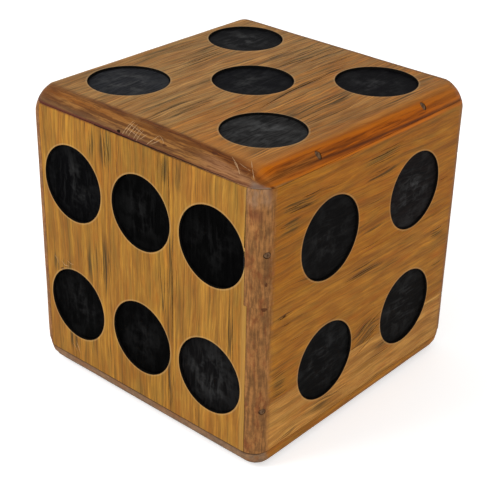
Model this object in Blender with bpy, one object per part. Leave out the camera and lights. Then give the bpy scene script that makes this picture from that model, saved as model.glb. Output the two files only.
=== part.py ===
"""Large wooden furniture die: a hollow box of glued-up solid boards with softly
rounded edges. Black-stained wooden pip discs sit in shallow round pockets, and
wooden pegs hold the panels together.

Dimensions are in millimetres and the objects in metres, +Z up. Origin: centre of
the underside. -Y is the six face, +X the four face, +Z the five face; opposite
faces add up to seven. Front is -Y, right is +X.
"""

import math
from typing import NamedTuple

import bmesh
import bpy
from mathutils import Matrix, Vector

MM = 0.001
X, Y, Z = range(3)  # axis indices
SHARP_ANGLE = math.radians(32.0)

# Outside size
HALF_W = 200.0  # along X
HALF_D = 206.7  # along Y
HEIGHT = 404.0
MID_Z = HEIGHT / 2
HALF_SIZE = (HALF_W, HALF_D, MID_Z)

# Rounded edges
EDGE_R = 24.0  # upright and top edges
EDGE_STEPS = 6
FOOT_R = 19.0  # height of the rounding along the bottom edges
FOOT_TIGHT = 12.0  # the same at its tightest, under the right side at the front
SOFT_R = 46.0  # larger radius that softens only the corners
SOFT_OUT = 6.6  # how far the softening box stands outside the die
SOFT_LOOPS = (31.0, 40.0)  # distance of the extra loops from each face
CRISP_CORNERS = ((1, -1, -1), (-1, 1, 1))  # not softened: signs of x, y and height
ON_FOOT = 0.001  # tolerance for a point at the top of the bottom rounding
FLAT_ANGLE = 1e-4  # radians between faces that count as one plane

# Fits
GAP = 0.3  # between neighbouring pieces
HALF_GAP = GAP / 2
OVER = 8.0  # how far a blank runs past the outside size before it is trimmed
CLEAR = 1.0  # how far a cutter runs past the blank it clears

# Panels
TOP_T = 18.5
TOP_T_THICK = 20.3  # third top board
BOTTOM_T = 23.0
RIGHT_T = 21.0
RIGHT_T_THICK = 25.6  # highest board of the right panel
LEFT_T = 22.0
FRONT_T = 20.0
BACK_T = 20.0
TOP_JOINTS = (-90.0, 24.0)  # x
BOTTOM_JOINTS = (-52.0, 70.0)  # x
FRONT_JOINTS = (-74.0, 60.0)  # x
BACK_JOINTS = (-66.0, 58.0)  # x
RIGHT_JOINTS = (94.0, 233.0)  # z
LEFT_JOINTS = (128.0, 262.0)  # z

# Limits of the blanks, and where the panels meet
OUT_X = HALF_W + OVER
OUT_Y = HALF_D + OVER
OUT_Z = HEIGHT + OVER
TOP_UNDER = HEIGHT - TOP_T
THICK_TOP_UNDER = HEIGHT - TOP_T_THICK
RIGHT_INNER = HALF_W - RIGHT_T
THICK_RIGHT_INNER = HALF_W - RIGHT_T_THICK
LEFT_INNER = -HALF_W + LEFT_T
WALL_LOW = BOTTOM_T + HALF_GAP
WALL_HIGH = TOP_UNDER - HALF_GAP

# Notches that clear the two thicker boards: low and high corner
NOTCH_END = (OUT_X + CLEAR, OUT_Y + CLEAR, OUT_Z + CLEAR)
THICK_TOP_NOTCH = (
    (TOP_JOINTS[1] - HALF_GAP, -OUT_Y - CLEAR, THICK_TOP_UNDER - HALF_GAP),
    NOTCH_END,
)
THICK_RIGHT_NOTCH = (
    (THICK_RIGHT_INNER - HALF_GAP, -OUT_Y - CLEAR, RIGHT_JOINTS[1] - HALF_GAP),
    NOTCH_END,
)

# Pips
PIP_SINK = 3.0  # disc surface below the face
PIP_T = 5.0
PIP_FIT = 0.3  # disc radius less than the pocket's
PIP_SIDES = 40
PIP_EASE = 0.6  # chamfer round the disc's outer face
PIP_R = 53.0  # pocket radius on most faces

# Pegs
PEG_R = 3.9
PEG_SIDES = 16
PEG_GRIP = 16.0  # how far a peg reaches past the thickest board it pins
UPRIGHT_PEG_INSET = 7.2  # from the right and left faces
UPRIGHT_PEG_Y = (-104.4, 105.4)
LEVEL_PEG_INSET = 13.2  # from the front and back faces
LEVEL_PEG_Z = (302.0, 86.0)

# Materials: base colour, roughness
WOODS = {
    "top": ((0.29, 0.14, 0.055), 0.5),
    "front": ((0.36, 0.165, 0.035), 0.5),
    "right": ((0.30, 0.125, 0.028), 0.5),
    "left": ((0.28, 0.12, 0.03), 0.5),
    "back": ((0.33, 0.15, 0.034), 0.5),
    "bottom": ((0.26, 0.12, 0.05), 0.6),
}
BLACK_STAIN = ((0.012, 0.012, 0.013), 0.55)
PEG_WOOD = ((0.07, 0.03, 0.012), 0.6)


class Face(NamedTuple):
    """A face of the die and its pips.

    u and v are the two axes across the face, in X, Y, Z order.
    """

    axis: int
    side: int  # sign of the outward normal
    plane: float
    pitch: tuple  # u, v
    centre: tuple  # u, v
    radius: float
    pips: tuple  # column and row in pitches, then drift in u, v and radius


# The five, six and four were laid out by hand, so their pips drift off the even grid.
FACES = {
    "top": Face(
        Z, 1, HEIGHT, pitch=(115.0, 112.5), centre=(-2.5, 4.5), radius=PIP_R,
        pips=(
            (-1, 1, -3, 5, -1),
            (-1, -1, 0, 2, 0),
            (1, 1, -1, 0, 1),
            (1, -1, -1, 2, 0),
            (0, 0, -3, 3, 0),
        ),
    ),
    "bottom": Face(
        Z, -1, 0.0, pitch=(98.0, 102.0), centre=(0.0, 0.0), radius=PIP_R,
        pips=((-1, -1, 0, 0, 0), (1, 1, 0, 0, 0)),
    ),
    "front": Face(
        Y, -1, -HALF_D, pitch=(120.0, 90.0), centre=(1.0, MID_Z - 1.0), radius=51.2,
        pips=(
            (-1, 1, 0, -1, 1),
            (0, 1, 3, 1, -1),
            (1, 1, 1, -1, 1),
            (-1, -1, -1, 0, 0),
            (0, -1, 1, 1, 0),
            (1, -1, -1, -2, 0),
        ),
    ),
    "back": Face(
        Y, 1, HALF_D, pitch=(0.0, 0.0), centre=(0.0, MID_Z), radius=PIP_R,
        pips=((0, 0, 0, 0, 0),),
    ),
    "right": Face(
        X, 1, HALF_W, pitch=(86.5, 87.5), centre=(4.5, MID_Z - 3.5), radius=54.0,
        pips=(
            (-1, 1, 2, -4, 1),
            (1, 1, 3, -1, -1),
            (-1, -1, 5, -5, 0),
            (1, -1, 3, 0, 0),
        ),
    ),
    "left": Face(
        X, -1, -HALF_W, pitch=(100.0, 96.0), centre=(0.0, MID_Z), radius=PIP_R,
        pips=((-1, -1, 0, 0, 0), (0, 0, 0, 0, 0), (1, 1, 0, 0, 0)),
    ),
}


# Scene, objects and cutters

def clear_scene():
    for obj in list(bpy.data.objects):
        bpy.data.objects.remove(obj, do_unlink=True)
    for mesh in list(bpy.data.meshes):
        bpy.data.meshes.remove(mesh)


def new_collection(name):
    collection = bpy.data.collections.new(name)
    bpy.context.scene.collection.children.link(collection)
    return collection


def material(name, colour, roughness):
    mat = bpy.data.materials.new(name)
    mat.use_nodes = True
    shader = mat.node_tree.nodes["Principled BSDF"]
    shader.inputs["Base Color"].default_value = (*colour, 1.0)
    shader.inputs["Roughness"].default_value = roughness
    shader.inputs["Metallic"].default_value = 0.0
    mat.diffuse_color = (*colour, 1.0)
    return mat


def new_object(name, bm, collection, mat=None, origin=(0.0, 0.0, 0.0)):
    """Object from a bmesh in millimetres in the die's frame, with its origin where asked."""
    offset = Vector(origin)
    for v in bm.verts:
        v.co = (v.co - offset) * MM
    bmesh.ops.recalc_face_normals(bm, faces=bm.faces)
    mesh = bpy.data.meshes.new(name)
    bm.to_mesh(mesh)
    bm.free()
    mesh.shade_smooth()
    mesh.set_sharp_from_angle(angle=SHARP_ANGLE)
    obj = bpy.data.objects.new(name, mesh)
    obj.location = offset * MM
    if mat:
        mesh.materials.append(mat)
    collection.objects.link(obj)
    return obj


def new_cutter(name, bm, collection):
    obj = new_object(name, bm, collection)
    obj.hide_render = True
    obj.display_type = "WIRE"
    return obj


def cut(obj, cutter, operation="DIFFERENCE"):
    mod = obj.modifiers.new(f"{operation.title()}_{cutter.name}", "BOOLEAN")
    mod.operation = operation
    mod.solver = "EXACT"
    mod.object = cutter


class BoxedCutter(NamedTuple):
    """A cutter and the box that decides which boards it cuts."""

    tool: bpy.types.Object
    low: list
    high: list


def with_axis(point, axis, value):
    """Copy of a point with its coordinate along one axis replaced."""
    moved = list(point)
    moved[axis] = value
    return moved


def box_round(centre, axis, reach, start, end):
    """Low and high corner of a box round a line along axis from start to end."""
    low = with_axis([c - reach for c in centre], axis, start)
    high = with_axis([c + reach for c in centre], axis, end)
    return low, high


def overlaps(low, high, other_low, other_high):
    return all(
        a < d and c < b for a, b, c, d in zip(low, high, other_low, other_high)
    )


# Basic shapes

def block_bm(low, high):
    bm = bmesh.new()
    size = [h - l for l, h in zip(low, high)]
    middle = [(h + l) / 2 for l, h in zip(low, high)]
    place = Matrix.Translation(middle) @ Matrix.Diagonal((*size, 1.0))
    bmesh.ops.create_cube(bm, size=1.0, matrix=place)
    return bm


def cylinder_bm(centre, axis, radius, start, end, sides, ease=0.0):
    """A round bar along axis from start to end, chamfered at its end when asked."""
    bm = bmesh.new()
    turn = {
        X: Matrix.Rotation(math.pi / 2, 4, "Y"),
        Y: Matrix.Rotation(-math.pi / 2, 4, "X"),
        Z: Matrix.Identity(4),
    }[axis]
    middle = with_axis(centre, axis, (start + end) / 2)
    bmesh.ops.create_cone(
        bm,
        cap_ends=True,
        segments=sides,
        radius1=radius,
        radius2=radius,
        depth=abs(end - start),
        matrix=Matrix.Translation(middle) @ turn,
    )
    if ease:
        rim = [
            e for e in bm.edges if all(abs(v.co[axis] - end) < 1e-3 for v in e.verts)
        ]
        bmesh.ops.bevel(
            bm, geom=rim, offset=ease, segments=1, profile=0.5, affect="EDGES"
        )
    return bm


# Envelope

def inside_rounded(point, half, radius):
    """Moves a point that lies outside a rounded box, centred on the origin, onto it."""
    core = [h - radius for h in half]
    near = Vector([max(-c, min(c, p)) for p, c in zip(point, core)])
    away = point - near
    if away.length <= radius:
        return point
    return near + away.normalized() * radius


def foot_height(x, y):
    """Height of the rounding along the bottom, tightest towards the right and front."""
    rightward = max(0.0, min(1.0, (x - HALF_W + EDGE_R) / EDGE_R))
    forward = max(0.0, min(1.0, 0.5 - y / (2 * (HALF_D - SOFT_LOOPS[1]))))
    return FOOT_R - (FOOT_R - FOOT_TIGHT) * rightward * forward


def add_soft_loops(bm):
    """Extra loops near the faces, so that softening moves only the corners."""
    for axis, size in enumerate(HALF_SIZE):
        for inset in SOFT_LOOPS:
            for side in (-1.0, 1.0):
                bmesh.ops.bisect_plane(
                    bm,
                    geom=[*bm.verts, *bm.edges, *bm.faces],
                    plane_co=with_axis((0.0, 0.0, 0.0), axis, side * (size - inset)),
                    plane_no=with_axis((0.0, 0.0, 0.0), axis, 1.0),
                )


def dissolve_flat_edges(bm):
    bm.normal_update()
    flat = [
        e
        for e in bm.edges
        if len(e.link_faces) == 2
        and e.link_faces[0].normal.angle(e.link_faces[1].normal, 1.0) < FLAT_ANGLE
    ]
    bmesh.ops.dissolve_edges(bm, edges=flat, use_verts=False)


def envelope_bm():
    """The die's outer shape: a box with rounded edges, tighter below, and softer corners."""
    bm = block_bm([-h for h in HALF_SIZE], HALF_SIZE)
    bmesh.ops.bevel(
        bm,
        geom=list(bm.edges),
        offset=EDGE_R,
        offset_type="OFFSET",
        segments=EDGE_STEPS,
        profile=0.5,
        affect="EDGES",
    )
    add_soft_loops(bm)
    outer = [h + SOFT_OUT for h in HALF_SIZE]
    for v in bm.verts:
        if tuple(1 if c > 0 else -1 for c in v.co) not in CRISP_CORNERS:
            v.co = inside_rounded(v.co, outer, SOFT_R)
        z = v.co.z + MID_Z
        if z < EDGE_R + ON_FOOT:
            z *= foot_height(v.co.x, v.co.y) / EDGE_R
        v.co.z = z
    dissolve_flat_edges(bm)
    bmesh.ops.triangulate(bm, faces=bm.faces)
    return bm


# Pips

def pip_places(face):
    """Centre and pocket radius of each pip on a face."""
    for column, row, drift_u, drift_v, drift_r in face.pips:
        centre = [
            column * face.pitch[0] + face.centre[0] + drift_u,
            row * face.pitch[1] + face.centre[1] + drift_v,
        ]
        centre.insert(face.axis, face.plane)
        yield centre, face.radius + drift_r


def build_pips(collection, cutters, black):
    """One disc per pip; returns the pocket cutters of each face."""
    pockets = {}
    for name, face in FACES.items():
        axis, side = face.axis, face.side
        surface = face.plane - side * PIP_SINK
        under = surface - side * PIP_T
        pockets[name] = []
        for number, (centre, radius) in enumerate(pip_places(face), 1):
            disc = cylinder_bm(
                centre, axis, radius - PIP_FIT, under, surface, PIP_SIDES, PIP_EASE
            )
            origin = with_axis(centre, axis, surface)
            new_object(f"pip_{name}_{number}", disc, collection, black, origin)
            floor, mouth = under - side * GAP, face.plane + side * OVER
            pocket = cylinder_bm(centre, axis, radius, floor, mouth, PIP_SIDES)
            tool = new_cutter(f"pocket_{name}_{number}", pocket, cutters)
            # A pocket cuts every board of its panel that it crosses, at any depth.
            box = box_round(centre, axis, radius, -math.inf, math.inf)
            pockets[name].append(BoxedCutter(tool, *box))
    return pockets


# Pegs

def peg_layout():
    """Yields name, axis, outward sign, position, coordinate outside the die and inside."""
    top_inside = HEIGHT - TOP_T_THICK - PEG_GRIP
    bottom_inside = BOTTOM_T + PEG_GRIP
    for panel, side, thick in (("right", 1, RIGHT_T_THICK), ("left", -1, LEFT_T)):
        for number, y in enumerate(UPRIGHT_PEG_Y, 1):
            spot = (side * (HALF_W - UPRIGHT_PEG_INSET), y, 0.0)
            yield f"peg_top_{panel}_{number}", Z, 1, spot, OUT_Z, top_inside
            yield f"peg_bottom_{panel}_{number}", Z, -1, spot, -OVER, bottom_inside
        outside = side * OUT_X
        inside = side * (HALF_W - thick - PEG_GRIP)
        for end, depth in (("front", -1), ("back", 1)):
            for number, z in enumerate(LEVEL_PEG_Z, 1):
                spot = (0.0, depth * (HALF_D - LEVEL_PEG_INSET), z)
                yield f"peg_{panel}_{end}_{number}", X, side, spot, outside, inside


def build_pegs(collection, cutters, envelope, wood):
    """Pegs trimmed flush with the envelope; returns their hole cutters."""
    holes = []
    for name, axis, side, spot, outside, inside in peg_layout():
        shape = cylinder_bm(spot, axis, PEG_R, inside, outside, PEG_SIDES)
        peg = new_object(name, shape, collection, wood, with_axis(spot, axis, inside))
        cut(peg, envelope, "INTERSECT")
        low, high = sorted((inside - side * GAP, outside + side * CLEAR))
        bore = cylinder_bm(spot, axis, PEG_R + GAP, low, high, PEG_SIDES)
        tool = new_cutter("hole_" + name, bore, cutters)
        box = box_round(spot, axis, PEG_R + CLEAR, low, high)
        holes.append(BoxedCutter(tool, *box))
    return holes


# Boards

def spans(low, joints, high):
    """Number, start and end of each board between two limits, half a gap off each joint."""
    starts = [low, *(j + HALF_GAP for j in joints)]
    ends = [*(j - HALF_GAP for j in joints), high]
    return zip(range(1, len(starts) + 1), starts, ends)


class Workshop(NamedTuple):
    """What every board needs: where it goes, its wood and what trims it."""

    collection: bpy.types.Collection
    cutters: bpy.types.Collection
    woods: dict
    envelope: bpy.types.Object
    pockets: dict
    holes: list

    def add_board(self, face, number, low, high, notches=()):
        name = f"{face}_board_{number}"
        middle = [(a + b) / 2 for a, b in zip(low, high)]
        blank = block_bm(low, high)
        board = new_object(name, blank, self.collection, self.woods[face], middle)
        cut(board, self.envelope, "INTERSECT")
        for i, notch in enumerate(notches, 1):
            if overlaps(low, high, *notch):
                cut(board, new_cutter(f"notch_{name}_{i}", block_bm(*notch), self.cutters))
        for cutter in self.pockets[face] + self.holes:
            if overlaps(low, high, cutter.low, cutter.high):
                cut(board, cutter.tool)


def build_top(shop):
    for i, x0, x1 in spans(-OUT_X, TOP_JOINTS, OUT_X):
        under = THICK_TOP_UNDER if i == 3 else TOP_UNDER
        shop.add_board("top", i, (x0, -OUT_Y, under + HALF_GAP), (x1, OUT_Y, OUT_Z))


def build_bottom(shop):
    for i, x0, x1 in spans(-OUT_X, BOTTOM_JOINTS, OUT_X):
        shop.add_board("bottom", i, (x0, -OUT_Y, -OVER), (x1, OUT_Y, BOTTOM_T - HALF_GAP))


def build_right(shop):
    for i, z0, z1 in spans(WALL_LOW, RIGHT_JOINTS, WALL_HIGH):
        inner = THICK_RIGHT_INNER if i == 3 else RIGHT_INNER
        low = (inner + HALF_GAP, -OUT_Y, z0)
        shop.add_board("right", i, low, (OUT_X, OUT_Y, z1), (THICK_TOP_NOTCH,))


def build_left(shop):
    for i, z0, z1 in spans(WALL_LOW, LEFT_JOINTS, WALL_HIGH):
        shop.add_board("left", i, (-OUT_X, -OUT_Y, z0), (LEFT_INNER - HALF_GAP, OUT_Y, z1))


def build_front_or_back(shop, face, joints, thick):
    """Upright boards that fit between the right and left panels."""
    side = FACES[face].side
    y0, y1 = sorted((side * OUT_Y, side * (HALF_D - thick)))
    for i, x0, x1 in spans(LEFT_INNER + HALF_GAP, joints, RIGHT_INNER - HALF_GAP):
        shop.add_board(
            face, i, (x0, y0, WALL_LOW), (x1, y1, WALL_HIGH),
            (THICK_TOP_NOTCH, THICK_RIGHT_NOTCH),
        )


def build():
    clear_scene()
    die = new_collection("wooden_die")
    cutters = new_collection("cutters")
    woods = {face: material("wood_" + face, *look) for face, look in WOODS.items()}
    black = material("black_stain", *BLACK_STAIN)
    peg_wood = material("peg_wood", *PEG_WOOD)

    envelope = new_cutter("envelope", envelope_bm(), cutters)
    pockets = build_pips(die, cutters, black)
    holes = build_pegs(die, cutters, envelope, peg_wood)
    shop = Workshop(die, cutters, woods, envelope, pockets, holes)
    build_top(shop)
    build_bottom(shop)
    build_right(shop)
    build_left(shop)
    build_front_or_back(shop, "front", FRONT_JOINTS, FRONT_T)
    build_front_or_back(shop, "back", BACK_JOINTS, BACK_T)


build()
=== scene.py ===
import math
import random

import bmesh
import bpy
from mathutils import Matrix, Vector, noise


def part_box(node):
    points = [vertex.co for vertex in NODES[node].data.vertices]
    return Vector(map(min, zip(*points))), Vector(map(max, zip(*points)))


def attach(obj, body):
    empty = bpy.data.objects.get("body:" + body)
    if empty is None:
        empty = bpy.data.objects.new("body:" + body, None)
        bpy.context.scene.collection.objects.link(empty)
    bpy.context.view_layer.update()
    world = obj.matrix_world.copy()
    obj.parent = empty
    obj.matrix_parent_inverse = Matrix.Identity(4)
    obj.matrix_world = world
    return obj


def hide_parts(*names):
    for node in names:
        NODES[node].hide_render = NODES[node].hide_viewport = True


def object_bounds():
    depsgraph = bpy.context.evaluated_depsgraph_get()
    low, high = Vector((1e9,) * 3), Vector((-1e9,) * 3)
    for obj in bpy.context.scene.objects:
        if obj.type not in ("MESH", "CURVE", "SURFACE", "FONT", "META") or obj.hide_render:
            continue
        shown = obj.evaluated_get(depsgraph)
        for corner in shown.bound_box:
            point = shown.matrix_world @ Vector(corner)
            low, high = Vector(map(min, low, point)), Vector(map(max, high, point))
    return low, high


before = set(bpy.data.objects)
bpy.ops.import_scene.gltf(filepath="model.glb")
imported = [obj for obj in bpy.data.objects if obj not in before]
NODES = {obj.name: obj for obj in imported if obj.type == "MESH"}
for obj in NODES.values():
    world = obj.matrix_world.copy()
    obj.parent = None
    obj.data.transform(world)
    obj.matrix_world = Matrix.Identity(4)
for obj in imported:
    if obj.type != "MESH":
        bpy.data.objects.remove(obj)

CAD_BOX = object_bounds()
LOW, HIGH = CAD_BOX
HALF_W, HALF_D, HEIGHT = HIGH.x, HIGH.y, HIGH.z
MM = 0.001
CM = 100.0

# The rounding of the outside, as the CAD has it
EDGE_R, FOOT_R, FOOT_TIGHT = 24 * MM, 19 * MM, 12 * MM
SOFT_R, SOFT_OUT, SOFT_INSET = 46 * MM, 6.6 * MM, 40 * MM
CRISP_CORNERS = ((1, -1, -1), (-1, 1, 1))  # not softened: signs of x, y and height
HALF = Vector((HALF_W, HALF_D, HEIGHT / 2))

AXES = {  # face: (grain axis, across axis, depth axis), each an index into XYZ
    "top": (1, 0, 2),
    "bottom": (1, 0, 2),
    "front": (2, 0, 1),
    "back": (2, 0, 1),
    "right": (1, 2, 0),
    "left": (1, 2, 0),
}

# ---------------------------------------------------------------- geometry


def rounded(point, half, radius, inside_only):
    core = [h - radius for h in half]
    near = Vector([max(-c, min(c, p)) for p, c in zip(point, core)])
    away = point - near
    if away.length < 1e-9 or (inside_only and away.length <= radius):
        return point.copy()
    return near + away * (radius / away.length)


def foot_height(x, y):
    """Height of the rounding along the bottom, near a point of the outline."""
    out = max(0.0, min(1.0, (x - HALF_W + EDGE_R) / EDGE_R))
    fore = max(0.0, min(1.0, 0.5 - y / (2 * (HALF_D - SOFT_INSET))))
    return FOOT_R - (FOOT_R - FOOT_TIGHT) * out * fore


def unsquash(z, foot):
    """Height on an evenly rounded box for a height on the real one, whose foot is tighter."""
    if z <= foot:
        return z * EDGE_R / foot
    if z < 31 * MM:
        return EDGE_R + (z - foot) * (31 * MM - EDGE_R) / (31 * MM - foot)
    return z


def resquash(z, foot):
    if z <= EDGE_R:
        return z * foot / EDGE_R
    if z < 31 * MM:
        return foot + (z - EDGE_R) * (31 * MM - foot) / (31 * MM - EDGE_R)
    return z


def on_envelope(point):
    """(nearest point on the smooth outside, its outward normal, how far point is from it)."""
    foot = foot_height(point.x, point.y)
    p = Vector((point.x, point.y, unsquash(point.z, foot) - HEIGHT / 2))
    q = rounded(p, HALF, EDGE_R, False)
    core = Vector([max(-h + EDGE_R, min(h - EDGE_R, c)) for c, h in zip(q, HALF)])
    normal = q - core
    normal.normalize()
    if tuple(1 if c > 0 else -1 for c in q) not in CRISP_CORNERS:
        q = rounded(q, HALF + Vector((SOFT_OUT,) * 3), SOFT_R, True)
    q.z = resquash(q.z + HEIGHT / 2, foot_height(q.x, q.y))
    return q, normal, (point - q).length


def surface_wave(p):
    """Height of the hand-planed, sanded surface at p: long shallow waves, in metres."""
    long = noise.noise(Vector((p.x * 14, p.y * 14, p.z * 14)))
    short = noise.noise(Vector((p.x * 46 + 7, p.y * 46, p.z * 46 - 3)))
    return (0.30 * long + 0.10 * short - 0.12) * MM


def grid_planes(low, high):
    """(axis, position) of the cuts that give a board enough points to bend and to round."""
    planes = []
    angles = [math.radians(7.5 + 15 * i) for i in range(6)]
    for axis, half in enumerate((HALF_W, HALF_D)):
        for sign in (-1, 1):
            for a in angles:
                planes.append((axis, sign * (half - EDGE_R + EDGE_R * math.sin(a))))
        steps = int(2 * (half - EDGE_R) / (9 * MM))
        for i in range(1, steps):
            planes.append((axis, -half + EDGE_R + 2 * (half - EDGE_R) * i / steps))
    for a in angles:
        planes.append((2, HEIGHT - EDGE_R + EDGE_R * math.sin(a)))
        planes.append((2, FOOT_R - FOOT_R * math.sin(a)))
    steps = int((HEIGHT - EDGE_R - FOOT_R) / (9 * MM))
    for i in range(1, steps):
        planes.append((2, FOOT_R + (HEIGHT - EDGE_R - FOOT_R) * i / steps))
    return [
        (axis, at) for axis, at in planes if low[axis] + 0.8 * MM < at < high[axis] - 0.8 * MM
    ]


def weld_copy(node):
    """The CAD node's mesh, welded, as a bmesh of flat faces."""
    bm = bmesh.new()
    bm.from_mesh(NODES[node].data)
    bmesh.ops.remove_doubles(bm, verts=bm.verts, dist=2e-6)
    bmesh.ops.dissolve_limit(
        bm, angle_limit=math.radians(0.6), verts=bm.verts, edges=bm.edges
    )
    return bm


def sharp_edges(bm, angle=40.0):
    bm.normal_update()
    return [
        e
        for e in bm.edges
        if len(e.link_faces) == 2 and e.calc_face_angle(0.0) > math.radians(angle)
    ]


def link(name, bm, *materials):
    mesh = bpy.data.meshes.new(name)
    bm.to_mesh(mesh)
    bm.free()
    for material in materials:
        mesh.materials.append(material)
    obj = bpy.data.objects.new(name, mesh)
    bpy.context.scene.collection.objects.link(obj)
    return obj


def place(obj, node, slot):
    obj.data.shade_smooth()
    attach(obj, "root")
    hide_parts(node)
    return obj


# Marks that years of use cut into the wood. Places are in millimetres on the outside.
TOP_Z, FRONT_Y, RIGHT_X = HEIGHT * 1000, -HALF_D * 1000, HALF_W * 1000


def edge_point(x, degrees):
    """A point on the rounded edge between the six side and the top: 0 is the side, 90 the top."""
    a = math.radians(degrees)
    return (x, FRONT_Y + 24 - 24 * math.cos(a), TOP_Z - 24 + 24 * math.sin(a))


# (points, half width, depth): splits and checks that follow the grain
SPLITS = [
    ([(50, 100, TOP_Z), (52.5, 66, TOP_Z), (54, 14, TOP_Z), (61, -32, TOP_Z), (66, -62, TOP_Z)], 0.8, 3.0),
    ([(-13, 58, TOP_Z), (-10, 92, TOP_Z), (-7, 122, TOP_Z), (-5, 152, TOP_Z)], 0.7, 2.0),
    ([(RIGHT_X, -45, 205), (RIGHT_X, -12, 206.5), (RIGHT_X, 24, 205)], 0.5, 1.3),
    ([(RIGHT_X, 41, 128), (RIGHT_X, 22, 121), (RIGHT_X, 2, 112)], 0.55, 1.2),
    ([(RIGHT_X, 44, 112), (RIGHT_X, 24, 104), (RIGHT_X, -4, 92)], 0.5, 1.2),
    ([(RIGHT_X, 20, 126), (RIGHT_X, 6, 121), (RIGHT_X, -8, 114)], 0.4, 1.0),
    ([(RIGHT_X, 30, 97), (RIGHT_X, 8, 88), (RIGHT_X, -14, 80)], 0.4, 1.0),
]


def check(face, place, start, stop, half=0.4, sway=0.8):
    """A fine drying check along the grain of a face, from start to stop."""
    middle = (start + stop) / 2
    a, b, c = (place, start), (place + sway, middle), (place + 0.2 * sway, stop)
    spot = {
        "top": lambda p, g: (p, g, TOP_Z),
        "bottom": lambda p, g: (p, g, 0),
        "front": lambda p, g: (p, FRONT_Y, g),
        "back": lambda p, g: (p, -FRONT_Y, g),
        "right": lambda p, g: (RIGHT_X, g, p),
        "left": lambda p, g: (-RIGHT_X, g, p),
    }[face]
    SPLITS.append(([spot(*a), spot(*b), spot(*c)], half, 2.6 * half))


# (place across the grain, from, to, half width)
for cross, start, stop, half in (
    (-46, 72, 150, 0.45), (-22, 78, 178, 0.5), (-8, 140, 190, 0.4), (3, 88, 168, 0.5), (12, 98, 160, 0.35),
    (-34, 96, 140, 0.35), (28, 120, 172, 0.35), (-118, 62, -6, 0.45), (-108, 58, -14, 0.5), (-100, 36, -20, 0.35),
    (-160, 66, 6, 0.4), (-30, -66, -150, 0.4), (-14, -92, -166, 0.45), (-2, -72, -140, 0.4), (8, -84, -160, 0.45),
    (-46, -84, -130, 0.35), (116, 52, 30, 0.5), (103, 46, 8, 0.35), (128, -20, -48, 0.4), (140, 30, -20, 0.35),
):
    check("top", cross, start, stop, half)
for cross, start, stop, half in (
    (-84, 374, 334, 0.5), (-78, 366, 344, 0.35), (-63, 376, 346, 0.4), (-57, 374, 334, 0.6), (-50, 368, 340, 0.45),
    (35, 380, 342, 0.35), (41, 378, 330, 0.4), (46.5, 382, 340, 0.5), (53.5, 380, 300, 0.55), (57.5, 268, 130, 0.6),
    (50, 236, 170, 0.35), (44, 240, 176, 0.4), (38, 226, 182, 0.35), (65, 240, 196, 0.35), (50, 96, 36, 0.45),
    (56, 70, 30, 0.35), (-79, 224, 176, 0.4), (-70, 214, 170, 0.35), (-62, 222, 166, 0.45), (-54, 208, 178, 0.35),
    (152, 236, 168, 0.35), (158, 210, 132, 0.35), (-36, 352, 330, 0.35), (72, 368, 340, 0.3), (98, 52, 30, 0.35),
):
    check("front", cross, start, stop, half, 0.5)
for cross, start, stop, half in (
    (350, -168, -132, 0.5), (344, -160, -118, 0.45), (356, -140, -100, 0.35), (361, -14, 44, 0.45), (352, -4, 52, 0.4),
    (340, 0, 34, 0.35), (366, 8, 60, 0.35), (215, -30, 14, 0.4), (206, 140, 172, 0.5), (208, -174, -156, 0.6),
    (196, -166, -150, 0.4), (330, -178, -160, 0.4), (280, 148, 172, 0.35), (100, -178, -150, 0.35), (60, 20, 66, 0.35),
    (44, -70, -24, 0.35), (300, -6, 30, 0.3), (240, -14, 26, 0.35), (168, -150, -120, 0.3), (150, 150, 176, 0.35),
):
    check("right", cross, start, stop, half, -0.8)
years = random.Random(1947)
for face in ("left", "back", "bottom"):
    for _ in range(20):
        cross = years.uniform(-165, 165) + (0 if face != "left" else 200)
        start = years.uniform(-165, 100) + (200 if face == "back" else 0)
        check(face, cross, start, start + years.uniform(22, 74), years.uniform(0.3, 0.5), years.uniform(-1, 1))
# the seam under the top panel, worn open
SPLITS.append(([(-182, FRONT_Y, 385.4), (-60, FRONT_Y, 385.3), (60, FRONT_Y, 385.4), (176, FRONT_Y, 385.4)], 0.85, 1.6))

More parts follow.
